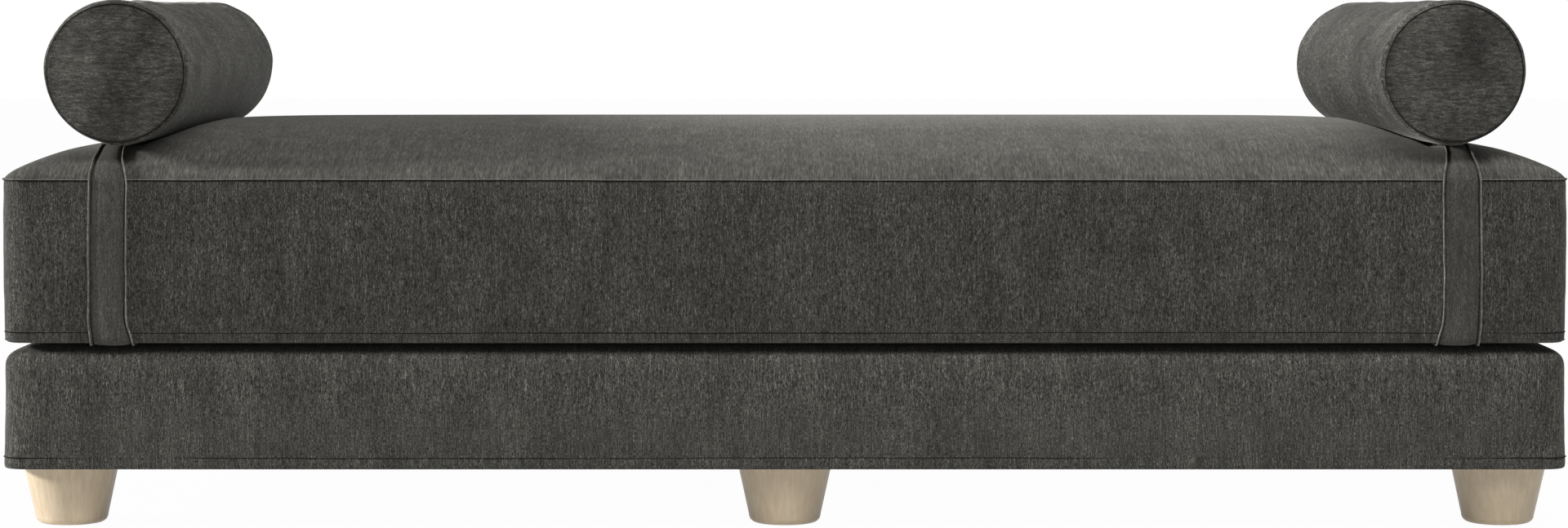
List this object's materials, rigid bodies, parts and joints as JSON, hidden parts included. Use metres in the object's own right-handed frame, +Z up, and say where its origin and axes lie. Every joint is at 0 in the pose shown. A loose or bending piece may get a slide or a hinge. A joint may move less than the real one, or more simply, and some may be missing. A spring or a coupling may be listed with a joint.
{
  "type": "backless divan",
  "caption": "Backless upholstered divan: crowned mattress hinged on a low base with tapered legs, with a round bolster strapped near each end.",
  "frame": {"origin": "on the floor, under the middle of the divan", "axes": "+X along the length, from the left end to the right end as seen from the front; +Y from front to back; +Z up"},
  "size_m": [2, 0.8066, 0.6795],
  "materials": {
    "upholstery_fabric": "matte",
    "leg_wood": "satin",
    "frame_timber": "matte",
    "plywood": "matte",
    "foam": "matte",
    "fibre_filling": "matte",
    "dust_cloth": "matte",
    "felt": "matte",
    "steel": "satin"
  },
  "bodies": {
    "base": {"base_front_rail": "frame_timber", "base_back_rail": "frame_timber", "base_left_rail": "frame_timber", "base_right_rail": "frame_timber", "base_cross_rails": "frame_timber", "base_corner_blocks": "frame_timber", "leg_mounting_plates": "frame_timber", "base_deck": "plywood", "base_foam": "foam", "base_fibre_wrap": "fibre_filling", "base_cover": "upholstery_fabric", "base_bottom_band": "upholstery_fabric", "dust_cover": "dust_cloth", "frame_screws": "steel", "tee_nuts": "steel", "leg_hanger_bolts": "steel", "leg_glides": "felt", "leg_front_left": "leg_wood", "leg_front_middle": "leg_wood", "leg_front_right": "leg_wood", "leg_back_left": "leg_wood", "leg_back_middle": "leg_wood", "leg_back_right": "leg_wood", "hinge_flap_base": "upholstery_fabric"},
    "mattress": {"mattress_core_foam": "foam", "mattress_fibre_wrap": "fibre_filling", "mattress_top_panel": "upholstery_fabric", "mattress_side_band": "upholstery_fabric", "mattress_bottom_panel": "upholstery_fabric", "hinge_flap_mattress": "upholstery_fabric"},
    "left_bolster": {"left_bolster_filling": "fibre_filling", "left_bolster_tube": "upholstery_fabric", "left_bolster_front_disc": "upholstery_fabric", "left_bolster_back_disc": "upholstery_fabric", "left_bolster_strap": "upholstery_fabric"},
    "right_bolster": {"right_bolster_filling": "fibre_filling", "right_bolster_tube": "upholstery_fabric", "right_bolster_front_disc": "upholstery_fabric", "right_bolster_back_disc": "upholstery_fabric", "right_bolster_strap": "upholstery_fabric"}
  },
  "joints": [
    {"name": "mattress_fold", "type": "hinge", "parent": "base", "child": "mattress", "pos_m": [0, 0.402, 0.2381], "axis": [-1, 0, 0], "range_deg": [0, 180]},
    {"name": "left_bolster_pull_off", "type": "slide", "parent": "mattress", "child": "left_bolster", "axis": [-1, 0, 0], "range_m": [0, 0.3]},
    {"name": "right_bolster_pull_off", "type": "slide", "parent": "mattress", "child": "right_bolster", "axis": [1, 0, 0], "range_m": [0, 0.3]}
  ]
}
